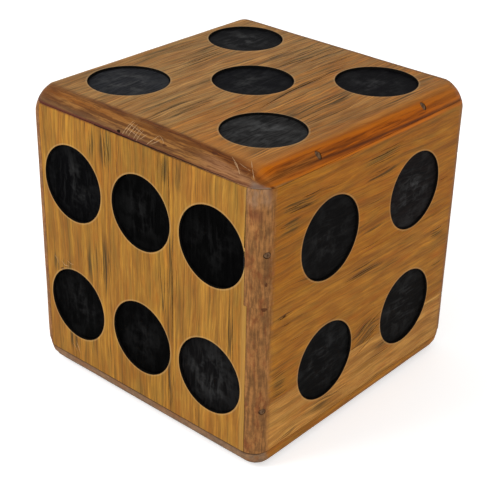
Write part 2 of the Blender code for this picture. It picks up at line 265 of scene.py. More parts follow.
# (points, half width, depth): pale scratches across the rounded edge
SCRATCHES = [
    ([edge_point(-19, 70), edge_point(-21, 44), edge_point(-25, 17)], 0.42, 0.3),
    ([edge_point(-16, 68), edge_point(-17, 48), edge_point(-20, 22)], 0.36, 0.25),
    ([edge_point(-10, 62), edge_point(-12, 40), edge_point(-15, 19)], 0.38, 0.25),
    ([edge_point(-6, 56), edge_point(-7, 42), edge_point(-9, 28)], 0.30, 0.2),
    ([edge_point(-1, 54), edge_point(-3, 36), edge_point(-6, 16)], 0.40, 0.3),
    ([edge_point(4, 52), edge_point(2, 34), edge_point(-1, 14)], 0.36, 0.25),
    ([edge_point(12, 44), edge_point(7, 30), edge_point(3, 20)], 0.34, 0.25),
    ([edge_point(-27, 56), edge_point(-8, 48), edge_point(13, 37)], 0.32, 0.2),
    ([edge_point(-22, 38), edge_point(-9, 34), edge_point(4, 26)], 0.28, 0.2),
    ([edge_point(30, 56), edge_point(24, 36), edge_point(16, 15)], 0.42, 0.3),
    ([edge_point(36, 48), edge_point(29, 32), edge_point(22, 20)], 0.34, 0.25),
    ([edge_point(30, 54), edge_point(37, 46), edge_point(42, 36)], 0.32, 0.2),
    ([edge_point(136, 76), edge_point(150, 58), edge_point(163, 31)], 0.48, 0.3),
    ([edge_point(143, 64), edge_point(152, 52), edge_point(160, 40)], 0.36, 0.25),
    ([edge_point(160, 90), edge_point(170, 66), edge_point(180, 40)], 0.46, 0.3),
    ([edge_point(150, 66), edge_point(160, 60), edge_point(171, 56)], 0.34, 0.25),
    ([(-150, FRONT_Y, 168), (-143, FRONT_Y, 163), (-134, FRONT_Y, 165)], 0.5, 0.3),
    ([(-139, FRONT_Y, 173), (-132, FRONT_Y, 170), (-124, FRONT_Y, 171)], 0.42, 0.3),
    ([(-164, FRONT_Y, 172), (-158, FRONT_Y, 167), (-155, FRONT_Y, 161)], 0.4, 0.3),
    ([(-128, FRONT_Y, 50), (-124, FRONT_Y, 43), (-121, FRONT_Y, 34)], 0.5, 0.3),
    ([(-134, FRONT_Y, 44), (-130, FRONT_Y, 40), (-127, FRONT_Y, 34)], 0.4, 0.3),
]
# (centre, long radius, short radius, direction of the long radius, depth): knocks and holes
DENTS = [
    (edge_point(-32, 22), 3.2, 1.8, (1, 0, 0), 2.6),
]
WORN = [
    (edge_point(43, 34), 3.6, 1.5, (1, 0, 0), 0.8),
    (edge_point(113, 66), 4.4, 2.6, (1, 0, 0), 0.5),
    ((RIGHT_X - 3, FRONT_Y + 11, 231), 4.2, 2.8, (0, 1, 0), 1.1),
    ((RIGHT_X - 2, FRONT_Y + 12, 264), 2.6, 1.8, (0, 0, 1), 0.8),
    ((RIGHT_X, -162, 209), 3.4, 1.3, (0, 1, 0.2), 0.6),
    ((-148, FRONT_Y, 156), 4.0, 2.0, (1, 0, 0.3), 0.5),
]


def add_groove(bm, points, half, depth, seed):
    """A V-shaped cutter along points, widest in the middle, that follows the surface."""
    rng = random.Random(seed)
    path = []
    for (a, b) in zip(points, points[1:]):
        a, b = Vector(a) * MM, Vector(b) * MM
        steps = max(2, int((b - a).length / (4 * MM)))
        path += [a.lerp(b, i / steps) for i in range(steps)]
    path.append(Vector(points[-1]) * MM)
    sections = []
    lift = 1.0 * MM
    for i, p in enumerate(path):
        q, n, _ = on_envelope(p)
        q = q + n * surface_wave(q)
        after, before = path[min(i + 1, len(path) - 1)], path[max(i - 1, 0)]
        side = n.cross(after - before).normalized()
        t = i / (len(path) - 1)
        taper = max(0.12, math.sin(math.pi * t) ** 0.6)
        w = half * MM * taper * rng.uniform(0.8, 1.2)
        d = depth * MM * taper * rng.uniform(0.85, 1.1)
        q = q + side * rng.uniform(-0.25, 0.25) * half * MM
        wide = w * (d + lift) / d
        sections.append(
            [
                bm.verts.new(q + side * wide + n * lift),
                bm.verts.new(q - side * wide + n * lift),
                bm.verts.new(q - n * d),
            ]
        )
    for a, b in zip(sections, sections[1:]):
        for k in range(3):
            m = (k + 1) % 3
            bm.faces.new((a[k], a[m], b[m], b[k]))
    bm.faces.new(sections[0][::-1])
    bm.faces.new(sections[-1])


def add_bowl(bm, centre, long, short, direction, depth, seed):
    """A ragged bowl-shaped cutter sunk into the surface at centre."""
    rng = random.Random(seed)
    q, n, _ = on_envelope(Vector(centre) * MM)
    q = q + n * surface_wave(q)
    u = Vector(direction)
    u = (u - n * u.dot(n)).normalized()
    v = n.cross(u)
    sides = 14
    ragged = [rng.uniform(0.8, 1.2) for _ in range(sides)]
    rings = []
    for scale, h in ((1.12, 1.0), (1.0, 0.0), (0.72, -0.55 * depth), (0.4, -0.88 * depth)):
        rings.append(
            [
                bm.verts.new(
                    q
                    + u * (long * MM * scale * r * math.cos(2 * math.pi * k / sides))
                    + v * (short * MM * scale * r * math.sin(2 * math.pi * k / sides))
                    + n * (h * MM)
                )
                for k, r in enumerate(ragged)
            ]
        )
    for a, b in zip(rings, rings[1:]):
        for k in range(sides):
            m = (k + 1) % sides
            bm.faces.new((a[k], a[m], b[m], b[k]))
    bm.faces.new(rings[0][::-1])
    low = bm.verts.new(q - n * depth * MM)
    for k in range(sides):
        bm.faces.new((rings[-1][k], rings[-1][(k + 1) % sides], low))


def near_board(points, low, high):
    margin = Vector((1.2 * MM,) * 3)
    lo, hi = low - margin, high + margin
    return any(all(lo[i] <= p[i] * MM <= hi[i] for i in range(3)) for p in points)


PALE = bpy.data.materials.new("cut_pale")
DEEP = bpy.data.materials.new("cut_deep")
RUBBED = bpy.data.materials.new("cut_rubbed")
KINDS = (("split", SPLITS, DEEP), ("scratch", SCRATCHES, PALE), ("dent", DENTS, DEEP), ("worn", WORN, RUBBED))


def carve(obj, low, high):
    """Cuts this board's share of the splits, scratches and knocks out of it."""
    made = 0
    for index, (kind, marks, surface) in enumerate(KINDS):
        bowl = kind in ("dent", "worn")
        for number, mark in enumerate(marks):
            points = [mark[0]] if bowl else mark[0]
            if not near_board(points, low, high):
                continue
            bm = bmesh.new()
            if bowl:
                add_bowl(bm, *mark, seed=50 * index + number)
            else:
                add_groove(bm, *mark, seed=50 * index + number)
            bmesh.ops.recalc_face_normals(bm, faces=bm.faces)
            cutter = link(f"cutter_{kind}_{number}", bm, surface)
            cut = obj.modifiers.new(f"cut_{made}", "BOOLEAN")
            cut.operation, cut.solver, cut.object = "DIFFERENCE", "EXACT", cutter
            cut.material_mode = "TRANSFER"
            made += 1
    if not made:
        return
    cutters = [m.object for m in obj.modifiers]
    bpy.context.view_layer.update()
    graph = bpy.context.evaluated_depsgraph_get()
    mesh = bpy.data.meshes.new_from_object(obj.evaluated_get(graph))
    obj.modifiers.clear()
    old = obj.data
    obj.data = mesh
    # the wood's shader reads what cut each face: 1 a pale scratch, 2 a dark split or hole, 3 a rubbed knock
    worth = [{PALE: 1.0, DEEP: 2.0, RUBBED: 3.0}.get(slot, 0.0) for slot in mesh.materials]
    mark = mesh.attributes.new("mark", "FLOAT", "FACE")
    mark.data.foreach_set("value", [worth[p.material_index] for p in mesh.polygons])
    wood = old.materials[0]
    mesh.materials.clear()
    mesh.materials.append(wood)
    mesh.polygons.foreach_set("material_index", [0] * len(mesh.polygons))
    bpy.data.meshes.remove(old)
    for cutter in cutters:
        spare = cutter.data
        bpy.data.objects.remove(cutter)
        bpy.data.meshes.remove(spare)


def build_board(node, material, slot):
    low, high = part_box(node)
    bm = weld_copy(node)
    # boards of one panel are glued edge to edge, so those joints close to a hairline
    kind, number = node.split("_board_")
    ia = AXES[kind][1]
    glued = [at for at, joins in ((low[ia], number != "1"), (high[ia], number != "3")) if joins]
    for v in bm.verts:
        for at in glued:
            if abs(v.co[ia] - at) < 0.05 * MM:
                v.co[ia] += math.copysign(0.11 * MM, at - (low[ia] + high[ia]) / 2)
    def is_glued(edge):
        return any(all(abs(v.co[ia] - at) < 0.2 * MM for v in edge.verts) for at in glued)
    for width, wanted in ((0.55, False), (0.14, True)):
        bmesh.ops.bevel(
            bm,
            geom=[e for e in sharp_edges(bm) if is_glued(e) == wanted],
            offset=width * MM,
            offset_type="OFFSET",
            segments=2,
            profile=0.5,
            affect="EDGES",
            clamp_overlap=True,
        )
    bmesh.ops.triangulate(bm, faces=[f for f in bm.faces if len(f.verts) > 4])
    for axis, at in grid_planes(low, high):
        point, normal = [0, 0, 0], [0, 0, 0]
        point[axis], normal[axis] = at, 1
        bmesh.ops.bisect_plane(
            bm,
            geom=list(bm.verts) + list(bm.edges) + list(bm.faces),
            plane_co=point,
            plane_no=normal,
            dist=0.02 * MM,
        )
    for v in bm.verts:
        q, normal, far = on_envelope(v.co)
        if far < 0.75 * MM:
            depth = (v.co - q).dot(normal)
            base = q if abs(depth) < 0.3 * MM else v.co
            v.co = base + normal * surface_wave(v.co)
    bmesh.ops.remove_doubles(bm, verts=bm.verts, dist=0.01 * MM)
    bmesh.ops.dissolve_degenerate(bm, edges=bm.edges, dist=0.01 * MM)
    bmesh.ops.recalc_face_normals(bm, faces=bm.faces)
    obj = link(node + "_wood", bm, material)
    carve(obj, low, high)
    place(obj, node, slot)
    weighted = obj.modifiers.new("weighted", "WEIGHTED_NORMAL")
    weighted.keep_sharp = True
    weighted.weight = 60
    return obj


def disc_frame(node):
    """(centre of the disc's outer face, outward axis, the two in-plane axes, radius, thickness)."""
    low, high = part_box(node)
    size = high - low
    axis = min(range(3), key=lambda i: size[i])
    mid = (low + high) / 2
    sign = 1 if (mid - Vector((0, 0, HEIGHT / 2)))[axis] > 0 else -1
    out = Vector((0, 0, 0))
    out[axis] = sign
    u = Vector((0, 0, 0))
    v = Vector((0, 0, 0))
    u[(axis + 1) % 3] = 1
    v[(axis + 2) % 3] = 1
    if u.cross(v).dot(out) < 0:
        u, v = v, u
    centre = mid + out * size[axis] / 2
    return centre, out, u, v, max(size) / 2, size[axis]


def build_disc(node, material):
    """A stained disc: a slightly hollow, scraped face with an eased rim."""
    centre, out, u, v, radius, thick = disc_frame(node)
    seed = centre * 31
    bm = bmesh.new()
    sides, rings = 96, 20
    profile = [(radius * (i / rings) ** 0.9, 0.0) for i in range(1, rings)]
    profile += [
        (radius - 0.9 * MM, -0.02 * MM),
        (radius - 0.45 * MM, -0.16 * MM),
        (radius - 0.12 * MM, -0.5 * MM),
        (radius, -0.95 * MM),
        (radius, -thick + 0.3 * MM),
        (radius - 0.3 * MM, -thick),
        (radius * 0.5, -thick),
    ]
    def point(r, h, a):
        p = centre + u * (r * math.cos(a)) + v * (r * math.sin(a)) + out * h
        if h > -0.6 * MM:
            dish = -0.35 * MM * max(0.0, 1 - (r / radius) ** 2)
            rough = 0.16 * MM * noise.noise(p * 60 + seed) + 0.07 * MM * noise.noise(
                p * 190 + seed
            )
            p = p + out * (dish + rough - 0.1 * MM)
        return p
    loops = []
    for r, h in profile:
        loops.append(
            [bm.verts.new(point(r, h, 2 * math.pi * k / sides)) for k in range(sides)]
        )
    for a, b in zip(loops, loops[1:]):
        for k in range(sides):
            n = (k + 1) % sides
            bm.faces.new((a[k], b[k], b[n], a[n]))
    front = bm.verts.new(point(0.0, 0.0, 0.0))
    back = bm.verts.new(centre - out * thick)
    for k in range(sides):
        n = (k + 1) % sides
        bm.faces.new((front, loops[0][k], loops[0][n]))
        bm.faces.new((back, loops[-1][n], loops[-1][k]))
    bmesh.ops.recalc_face_normals(bm, faces=bm.faces)
    return place(link(node + "_disc", bm, material), node, "black_stained_wood")


def build_peg(node, material):
    """A driven peg, worn a little below the surface, with a chipped and split end."""
    low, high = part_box(node)
    size = high - low
    axis = max(range(3), key=lambda i: size[i])
    centre = (low + high) / 2
    rng = random.Random(node)
    sides = 28
    radius = min(size) / 2
    outward = 1 if centre[axis] > (HEIGHT / 2 if axis == 2 else 0) else -1
    far_end = low[axis] if outward > 0 else high[axis]
    split = rng.uniform(0, math.pi)
    u_axis, v_axis = (axis + 1) % 3, (axis + 2) % 3
    def at(r, a, along):
        p = Vector(centre)
        p[u_axis] += r * math.cos(a)
        p[v_axis] += r * math.sin(a)
        p[axis] = along
        return p
    def on_outside(r, a):
        """The peg's worn end follows the rounded surface, a little below it."""
        p = at(r, a, centre[axis] + outward * 60 * MM)
        lo, hi = centre[axis], centre[axis] + outward * 60 * MM
        for _ in range(26):
            mid = (lo + hi) / 2
            p[axis] = mid
            q, n, _ = on_envelope(p)
            if (p - q).dot(n) > 0:
                hi = mid
            else:
                lo = mid
        p[axis] = lo
        _, n, _ = on_envelope(p)
        across = r * math.sin(a - split)
        crack = 0.9 * MM * math.exp(-((across / (0.42 * MM)) ** 2)) * (1 - (r / radius) ** 4)
        edge = 0.5 * MM * max(0.0, (r / radius - 0.72) / 0.28) ** 2
        rough = 0.22 * MM * noise.noise(p * 700)
        return p - n * (0.45 * MM + crack + edge + rough)
    bm = bmesh.new()
    rings = 9
    loops = [
        [bm.verts.new(on_outside(radius * (i + 1) / rings, 2 * math.pi * k / sides)) for k in range(sides)]
        for i in range(rings)
    ]
    for depth in (0.35, 0.7, 1.0):
        loops.append(
            [
                bm.verts.new(
                    at(
                        radius - (0.4 * MM if depth == 1.0 else 0),
                        2 * math.pi * k / sides,
                        loops[rings - 1][k].co[axis] * (1 - depth) + far_end * depth,
                    )
                )
                for k in range(sides)
            ]
        )
    for a, b in zip(loops, loops[1:]):
        for k in range(sides):
            n = (k + 1) % sides
            bm.faces.new((a[k], b[k], b[n], a[n]))
    front = bm.verts.new(on_outside(0.0, 0.0))
    back = bm.verts.new(at(0.0, 0.0, far_end))
    for k in range(sides):
        n = (k + 1) % sides
        bm.faces.new((front, loops[0][k], loops[0][n]))
        bm.faces.new((back, loops[-1][n], loops[-1][k]))
    bmesh.ops.recalc_face_normals(bm, faces=bm.faces)
    return place(link(node + "_end", bm, material), node, "peg_wood")


# ---------------------------------------------------------------- materials


class Graph:
    """Short helpers for building a material's nodes."""

    def __init__(self, name):
        self.mat = bpy.data.materials.new(name)
        self.mat.use_nodes = True
        self.tree = self.mat.node_tree
        self.shader = self.tree.nodes["Principled BSDF"]

    def node(self, kind, **settings):
        n = self.tree.nodes.new(kind)
        for key, value in settings.items():
            setattr(n, key, value)
        return n

    def put(self, value, socket):
        if isinstance(value, bpy.types.NodeSocket):
            self.tree.links.new(value, socket)
        elif value is not None:
            if socket.type == "RGBA" and len(value) == 3:
                value = (*value, 1.0)
            socket.default_value = value

    def math(self, op, a, b=None, c=None, clamp=False):
        n = self.node("ShaderNodeMath", operation=op, use_clamp=clamp)
        for value, socket in zip((a, b, c), n.inputs):
            self.put(value, socket)
        return n.outputs[0]

    def add(self, a, b):
        return self.math("ADD", a, b)

    def sub(self, a, b):
        return self.math("SUBTRACT", a, b)

    def mul(self, a, b):
        return self.math("MULTIPLY", a, b)

    def most(self, values):
        out = values[0]
        for v in values[1:]:
            out = self.math("MAXIMUM", out, v)
        return out

    def least(self, values):
        out = values[0]
        for v in values[1:]:
            out = self.math("MINIMUM", out, v)
        return out

    def xyz(self, x, y, z):
        n = self.node("ShaderNodeCombineXYZ")
        for value, socket in zip((x, y, z), n.inputs):
            self.put(value, socket)
        return n.outputs[0]

    def noise(self, vector, scale=1.0, detail=2.0, rough=0.5, distort=0.0):
        n = self.node("ShaderNodeTexNoise")
        self.put(vector, n.inputs["Vector"])
        n.inputs["Scale"].default_value = scale
        n.inputs["Detail"].default_value = detail
        n.inputs["Roughness"].default_value = rough
        n.inputs["Distortion"].default_value = distort
        return n.outputs[0]

    def step(self, value, a, b, c=0.0, d=1.0, smooth=True):
        n = self.node(
            "ShaderNodeMapRange",
            interpolation_type="SMOOTHSTEP" if smooth else "LINEAR",
            clamp=True,
        )
        for v, key in zip((value, a, b, c, d), ("Value", "From Min", "From Max", "To Min", "To Max")):
            self.put(v, n.inputs[key])
        return n.outputs["Result"]

    def mix(self, fac, a, b, blend="MIX"):
        n = self.node("ShaderNodeMix", data_type="RGBA", blend_type=blend, clamp_factor=True)
        self.put(fac, n.inputs[0])
        self.put(a, n.inputs[6])
        self.put(b, n.inputs[7])
        return n.outputs[2]

    def scale(self, colour, factor):
        n = self.node("ShaderNodeVectorMath", operation="SCALE")
        self.put(colour, n.inputs[0])
        self.put(factor, n.inputs[3])
        return n.outputs[0]

    def bump_at(self, value, centre, width):
        """1 at centre, falling to 0 about width away."""
        d = self.math("ABSOLUTE", self.sub(value, centre))
        return self.step(d, 0.0, width, 1.0, 0.0)

    def position(self):
        geo = self.node("ShaderNodeNewGeometry")
        split = self.node("ShaderNodeSeparateXYZ")
        self.put(geo.outputs["Position"], split.inputs[0])
        return geo, [self.mul(split.outputs[i], CM) for i in range(3)]


def pips_near(node, face):
    """(grain place, cross place, radius) in centimetres of the pips let into this board."""
    ig, ia, _ = AXES[face]
    low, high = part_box(node)
    found = []
    for name in sorted(NODES):
        if name.startswith("pip_" + face):
            lo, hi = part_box(name)
            if hi[ia] > low[ia] and lo[ia] < high[ia]:
                mid = (lo + hi) / 2
                found.append((mid[ig] * CM, mid[ia] * CM, (hi[ia] - lo[ia]) / 2 * CM))
    return found


def aged_wood(name, node, face, look):
    """Solid aged wood. Growth rings, fibres and stains are worked out in the block
    itself, so a face shows long grain and a rounded end shows the same rings cut across."""
    g = Graph(name)
    geo, world = g.position()
    ig, ia, ib = AXES[face]
    along, across, deep = world[ig], world[ia], world[ib]
    seed = look.get("seed", 0.0)

    normal = g.node("ShaderNodeSeparateXYZ")
    g.put(geo.outputs["True Normal"], normal.inputs[0])
    sawn = g.step(g.math("ABSOLUTE", normal.outputs[ig]), 0.93, 0.98)
    speckle = g.noise(g.xyz(world[0], world[1], world[2]), 1.6, 3.0, 0.6)
    # how far the rounded end of the board has turned from long grain to end grain
    middle, half = (20.2, 20.2) if ig == 2 else (0.0, HALF[ig] * CM)
    turn = g.mul(g.sub(g.math("ABSOLUTE", g.sub(along, middle)), half - 2.4), 1 / 2.4)
    begins, ends = (0.22, 0.78) if ig == 2 else (-0.14, 0.34)
    turn = g.step(g.add(turn, g.mul(g.sub(speckle, 0.5), 0.5)), begins, ends)
    end = g.math("MAXIMUM", turn, sawn)

    # slow wander of the grain, and local bends
    slow = g.noise(g.xyz(g.mul(along, 0.045), g.mul(across, 0.16), g.add(g.mul(deep, 0.16), seed)), 1.0, 2.0, 0.55)
    ripple = g.noise(g.xyz(g.mul(along, 0.22), g.mul(across, 0.7), g.add(g.mul(deep, 0.7), seed + 9)), 1.0, 2.0, 0.5)
    bend = g.add(g.mul(g.sub(slow, 0.5), look.get("wander", 2.2)), g.mul(g.sub(ripple, 0.5), look.get("ripple", 0.55)))
    for c_g, c_a, w_g, w_a, slope in look.get("slants", ()):
        here = g.mul(g.bump_at(along, c_g, w_g), g.bump_at(across, c_a, w_a))
        bend = g.add(bend, g.mul(g.mul(g.sub(along, c_g), slope), here))
    a = g.add(across, bend)

    # growth rings round a pith that leans away from the board
    pith_a, pith_b, lean_a, lean_b = look["pith"]
    da = g.sub(a, g.add(g.mul(along, lean_a), pith_a))
    db = g.sub(deep, g.add(g.mul(along, lean_b), pith_b))
    radius = g.math("SQRT", g.add(g.mul(da, da), g.mul(db, db)))
    radius = g.add(radius, g.mul(g.sub(speckle, 0.5), 0.28))
    ringed = g.mul(radius, 1.0 / look.get("ring", 0.42))
    phase = g.math("FRACT", ringed)
    late = g.mul(g.step(phase, 0.2, 0.8), g.step(phase, 0.86, 1.0, 1.0, 0.0))
    ring_tone = g.noise(g.xyz(g.mul(radius, 1.5), g.mul(g.add(a, along), 0.22), seed), 1.0, 3.0, 0.6)

    # fibres, broad figure, long thin stains, short dashes, mottling
    def grain(stretch, width, offset, detail, rough):
        place_in = g.xyz(g.add(g.mul(along, stretch), seed + offset), g.mul(a, width), g.mul(deep, width))
        return g.noise(place_in, 1.0, detail, rough)
    fibre = grain(0.06, 2.6, 0, 4.0, 0.80)
    hair = grain(0.22, 9.0, 1, 3.0, 0.68)
    figure = grain(0.04, 0.75, 21, 3.0, 0.55)
    streak_n = grain(0.055, 5.6, 0, 3.0, 0.56)
    dash_n = grain(0.11, 6.6, 3, 2.0, 0.50)
    line_n = grain(0.030, look.get("line_pitch", 1.9), 7, 2.0, 0.50)
    lines = g.step(g.math("ABSOLUTE", g.sub(line_n, 0.5)), 0.012, 0.050, 1.0, 0.0)
    broad = grain(0.08, 0.5, 5, 3.0, 0.55)
    mottle = grain(0.15, 0.80, 2, 5.0, 0.64)
    olive = grain(0.12, 1.0, 13, 5.0, 0.66)
    ember = grain(0.22, 0.7, 17, 4.0, 0.62)

    density = g.step(broad, 0.46, 0.72, 0.0, look.get("stain", 0.3))
    spots = [
        g.mul(g.mul(g.bump_at(along, c_g, w_g), g.bump_at(a, c_a, w_a)), amount)
        for c_g, c_a, w_g, w_a, amount in look.get("marks", ())
    ]
    if spots:
        density = g.math("MINIMUM", g.add(density, g.most(spots)), 1.0)
    streak = g.step(g.sub(streak_n, g.sub(0.68, g.mul(density, 0.13))), 0.0, 0.05)
    dash = g.step(g.sub(dash_n, g.sub(0.71, g.mul(density, look.get("dashes", 0.12)))), 0.0, 0.03)
    long_lines = g.mul(lines, g.step(density, 0.04, 0.5, look.get("lines", 0.20), 0.85))
    dark = g.math("MINIMUM", g.add(g.most([g.mul(streak, look.get("streaks", 0.5)), long_lines]), g.mul(dash, 0.85)), 1.0)

    colour = g.mix(g.step(mottle, 0.34, 0.66), look["light"], look["light2"])
    colour = g.mix(g.step(olive, 0.46, 0.70, 0.0, look.get("olive_amount", 0.55)), colour, look["olive"])
    colour = g.mix(g.step(ember, 0.5, 0.74, 0.0, look.get("ember_amount", 0.5)), colour, look["ember"])
    colour = g.mix(g.step(figure, 0.47, 0.70, 0.0, look.get("figure", 0.35)), colour, look["deep"])
    colour = g.mix(g.mul(late, look.get("rings", 0.16)), colour, look["deep"])
    c = look.get("contrast", 1.15)
    tone = g.mul(
        g.step(fibre, 0.34, 0.66, 1.0 - 0.30 * c, 1.0 + 0.28 * c, smooth=False),
        g.step(hair, 0.3, 0.7, 1.0 - 0.24 * c, 1.0 + 0.22 * c, smooth=False))
    colour = g.scale(colour, tone)
    veil = g.mul(g.step(density, 0.25, 0.9), g.step(olive, 0.3, 0.65))
    colour = g.mix(g.mul(veil, look.get("veil", 0.4)), colour, look["veil_colour"])
    colour = g.mix(g.mul(dark, look.get("dark", 0.85)), colour, look["stain_colour"])

    # end grain: bands that follow the rings, each with its own tint, and open pores
    pores = g.noise(g.xyz(g.mul(along, 0.6), g.mul(a, 9.0), g.mul(deep, 9.0)), 1.0, 3.0, 0.7)
    blotch = g.noise(g.xyz(g.mul(along, 1.0), g.mul(across, 0.38), g.mul(deep, 1.0)), 1.0, 4.0, 0.64)
    smear = g.noise(g.xyz(g.mul(along, 3.2), g.mul(across, 0.34), g.add(g.mul(deep, 3.2), seed)), 1.0, 4.0, 0.66)
    end_colour = g.mix(g.step(smear, 0.40, 0.60), look["end"], look["end2"])
    end_colour = g.mix(g.step(blotch, 0.50, 0.66, 0.0, 0.75), end_colour, look["end3"])
    end_colour = g.mix(g.mul(g.step(ring_tone, 0.5, 0.66), look.get("end_rings", 0.3)), end_colour, look["end_dark"])
    end_colour = g.scale(end_colour, g.step(speckle, 0.3, 0.7, 0.78, 1.22, smooth=False))
    end_colour = g.mix(g.step(pores, 0.54, 0.78, 0.0, 0.5), end_colour, look["end_dark"])
    colour = g.mix(end, colour, end_colour)

    for extra in look.get("extras", ()):
        colour = extra(g, world, colour, dict(fibre=fibre, streak=streak_n, mottle=mottle, blotch=blotch, speckle=speckle, broad=broad))

    cut = g.node("ShaderNodeAttribute", attribute_type="GEOMETRY", attribute_name="mark").outputs["Fac"]
    colour = g.mix(g.mul(g.step(cut, 0.4, 0.6), g.step(cut, 1.4, 1.6, 0.8, 0.0)), colour, (0.50, 0.31, 0.16))
    colour = g.mix(g.mul(g.step(cut, 1.4, 1.6), g.step(cut, 2.4, 2.6, 0.88, 0.0)), colour, look.get("split", (0.026, 0.011, 0.005)))
    colour = g.mix(g.step(cut, 2.4, 2.6, 0.0, 0.7), colour, (0.075, 0.022, 0.009))

    # painted shade: darker where ambient occlusion finds the joints, cuts and pocket rims
    ao = g.node("ShaderNodeAmbientOcclusion", samples=6, only_local=False)
    ao.inputs["Distance"].default_value = 0.0032
    occlusion_shade = g.step(ao.outputs["AO"], 0.3, 0.85, 1.0, 0.0)
    colour = g.mix(g.mul(occlusion_shade, 0.85), colour, (0.022, 0.009, 0.004))

    # pockets: a clean pale rim, and walls stained with the discs
    pips = pips_near(node, face)
    stain_wall = None
    if pips:
        rims = []
        for c_g, c_a, r in pips:
            dg, dc = g.sub(along, c_g), g.sub(across, c_a)
            away = g.math("SQRT", g.add(g.mul(dg, dg), g.mul(dc, dc)))
            rims.append(g.sub(away, r))
        rim = g.least(rims)
        rim = g.add(rim, g.mul(g.sub(speckle, 0.5), 0.05))
        halo = g.mul(g.step(rim, 0.05, 0.10), g.step(rim, 0.14, 0.34, 1.0, 0.0))
        colour = g.mix(g.mul(halo, look.get("rim", 0.36)), colour, look["halo"])
        stain_wall = g.step(rim, 0.045, 0.075, 1.0, 0.0)
        colour = g.mix(stain_wall, colour, (0.006, 0.0055, 0.005))

    g.put(colour, g.shader.inputs["Base Color"])
    rough = g.add(look.get("rough", 0.46), g.mul(g.sub(fibre, 0.5), 0.35))
    rough = g.add(rough, g.mul(dark, 0.15))
    rough = g.add(rough, g.mul(end, 0.08))
    g.put(rough, g.shader.inputs["Roughness"])
    g.shader.inputs["Specular IOR Level"].default_value = look.get("specular", 0.06)

    height = g.add(g.mul(fibre, 0.55), g.mul(hair, 0.25))
    height = g.sub(height, g.mul(dark, 0.9))
    height = g.sub(height, g.mul(late, 0.15))
    height = g.sub(height, g.mul(g.mul(end, pores), 0.6))
    bump = g.node("ShaderNodeBump")
    bump.inputs["Strength"].default_value = look.get("bump", 0.4)
    bump.inputs["Distance"].default_value = 0.0006
    g.put(height, bump.inputs["Height"])
    g.put(bump.outputs[0], g.shader.inputs["Normal"])
    return g.mat


def black_wood(name, face, centre, seed, dust_and_sheen, lift=(1.0, 1.0, 1.0), sheen=0.02):
    """Wood stained black; the grain stays readable as grey lines and rubbed patches, partly dust and partly painted
    sheen, and lift brightens the black, partly faded stain and partly painted sky reflection on the top discs.
    """
    g = Graph(name)
    _, world = g.position()
    ig, ia, ib = AXES[face]
    along, across, deep = world[ig], world[ia], world[ib]
    wander = g.noise(g.xyz(g.mul(along, 0.12), g.mul(across, 0.3), seed), 1.0, 2.0)
    a = g.add(across, g.mul(g.sub(wander, 0.5), 2.0))
    fibre = g.noise(g.xyz(g.add(g.mul(along, 0.4), seed), g.mul(a, 4.0), deep), 1.0, 5.0, 0.68)
    line = g.noise(g.xyz(g.add(g.mul(along, 0.3), seed), g.mul(a, 1.7), deep), 1.0, 4.0, 0.62)
    rub = g.noise(g.xyz(world[0], world[1], g.add(world[2], seed)), 0.42, 4.0, 0.62)
    dg, dc = g.sub(along, centre[0]), g.sub(across, centre[1])
    # the grey, partly dust and partly painted sheen, is strongest in the middle of the disc
    middle = g.step(g.math("SQRT", g.add(g.mul(dg, dg), g.mul(dc, dc))), 0.5, 4.6, 1.0, 0.25)
    dull, bright = (0.0005, 0.0005, 0.0006), (0.0056, 0.0055, 0.0057)
    # lift brightens the black: partly faded stain, partly painted sky reflection, strongest on the top discs
    colour = g.mix(g.step(fibre, 0.32, 0.75), [d * k for d, k in zip(dull, lift)], [b * k for b, k in zip(bright, lift)])
    grey = g.mul(g.add(g.mul(g.step(line, 0.48, 0.68), 0.7), g.mul(g.step(rub, 0.46, 0.66), 0.9)), middle)
    colour = g.mix(g.mul(grey, dust_and_sheen), colour, (0.060, 0.060, 0.060))
    g.put(colour, g.shader.inputs["Base Color"])
    g.put(g.add(0.55, g.mul(g.sub(fibre, 0.5), 0.4)), g.shader.inputs["Roughness"])
    g.shader.inputs["Specular IOR Level"].default_value = sheen
    bump = g.node("ShaderNodeBump")
    bump.inputs["Strength"].default_value = 0.4
    bump.inputs["Distance"].default_value = 0.0005
    g.put(g.add(fibre, g.mul(line, 0.8)), bump.inputs["Height"])
    g.put(bump.outputs[0], g.shader.inputs["Normal"])
    return g.mat


def peg_material():
    """End grain close to the wood round it; the hole's lower left rim is darkened with painted shade from ambient
    occlusion, in patches.
    """
    g = Graph("peg_end_grain")
    geo = g.node("ShaderNodeNewGeometry")
    n = g.noise(geo.outputs["Position"], 900.0, 3.0, 0.6)
    m = g.noise(geo.outputs["Position"], 240.0, 2.0, 0.6)
    colour = g.mix(g.step(n, 0.3, 0.7), (0.130, 0.070, 0.034), (0.205, 0.112, 0.055))
    colour = g.mix(g.step(m, 0.44, 0.62, 0.0, 0.7), colour, (0.060, 0.026, 0.012))
    ao = g.node("ShaderNodeAmbientOcclusion", samples=6, only_local=False)
    ao.inputs["Distance"].default_value = 0.0026
    # painted shade in the peg's hole, where ambient occlusion finds it, broken into patches by noise
    occlusion_shade = g.mul(g.step(ao.outputs["AO"], 0.35, 0.85, 1.0, 0.0), g.step(m, 0.40, 0.56, 0.75, 0.1))
    colour = g.mix(occlusion_shade, colour, (0.022, 0.010, 0.006))
    g.put(colour, g.shader.inputs["Base Color"])
    g.put(g.add(0.5, g.mul(n, 0.3)), g.shader.inputs["Roughness"])
    g.shader.inputs["Specular IOR Level"].default_value = 0.1
    bump = g.node("ShaderNodeBump")
    bump.inputs["Strength"].default_value = 0.5
    bump.inputs["Distance"].default_value = 0.0004
    g.put(n, bump.inputs["Height"])
    g.put(bump.outputs[0], g.shader.inputs["Normal"])
    return g.mat


